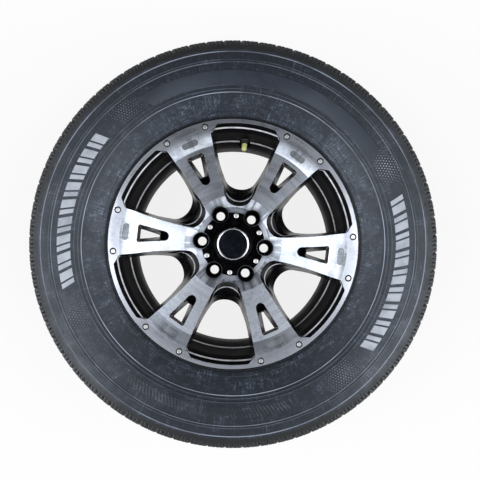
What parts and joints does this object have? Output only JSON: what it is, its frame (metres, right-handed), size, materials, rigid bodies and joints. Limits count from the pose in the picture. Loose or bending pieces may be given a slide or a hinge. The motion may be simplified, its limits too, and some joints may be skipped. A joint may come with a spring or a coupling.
{
  "type": "car wheel with tyre",
  "caption": "Cast alloy car wheel with slotted spokes, machined front face, screwed-on centre cap, snap-in valve and a tubeless radial tyre, standing apart from the car.",
  "frame": {"origin": "centre of the hub's mounting face, on the wheel axis", "axes": "+Z along the wheel axis towards the styled face, +Y from the axis through the valve; the wheel lies on its rear sidewall"},
  "size_m": [0.7493, 0.7494, 0.2586],
  "materials": {
    "tyre_rubber": "matt black tread and sidewall rubber",
    "machined_alloy": "diamond-turned front face under clear coat, gloss black in the windows and barrel",
    "cap_black": "gloss black moulded plastic",
    "emblem_disc": "plain dark disc",
    "bright_ring": "bright chrome",
    "screw_chrome": "bright plated screws",
    "rim_bolt_steel": "plated steel",
    "valve_rubber": "black moulded rubber",
    "valve_brass": "turned brass",
    "spring_steel": "spring wire",
    "cap_yellow": "pale yellow-green moulded plastic"
  },
  "bodies": {
    "wheel": {"tyre": "tyre_rubber", "wheel": "machined_alloy", "centre_cap": "cap_black", "cap_emblem": "emblem_disc", "cap_ring": "bright_ring", "valve_stem": "valve_rubber", "valve_tube": "valve_brass", "valve_core": "valve_brass", "core_spring": "spring_steel", "cap_screw_1": "screw_chrome", "cap_screw_2": "screw_chrome", "cap_screw_3": "screw_chrome", "cap_screw_4": "screw_chrome", "cap_screw_5": "screw_chrome", "cap_screw_6": "screw_chrome", "rim_bolt_1": "rim_bolt_steel", "rim_bolt_2": "rim_bolt_steel", "rim_bolt_3": "rim_bolt_steel", "rim_bolt_4": "rim_bolt_steel", "rim_bolt_5": "rim_bolt_steel", "rim_bolt_6": "rim_bolt_steel", "rim_bolt_7": "rim_bolt_steel", "rim_bolt_8": "rim_bolt_steel", "rim_bolt_9": "rim_bolt_steel", "rim_bolt_10": "rim_bolt_steel", "rim_bolt_11": "rim_bolt_steel", "rim_bolt_12": "rim_bolt_steel"},
    "valve_cap": {"valve_cap": "cap_yellow"},
    "core_pin": {"core_pin": "valve_brass"}
  },
  "joints": [
    {"name": "valve_cap_off", "type": "slide", "parent": "wheel", "child": "valve_cap", "axis": [0, -0.9063, 0.4226], "range_m": [0, 0.014]},
    {"name": "core_pin_press", "type": "slide", "parent": "wheel", "child": "core_pin", "axis": [0, 0.9063, -0.4226], "range_m": [0, 0.0015], "stiffness_N_per_m": 400}
  ]
}
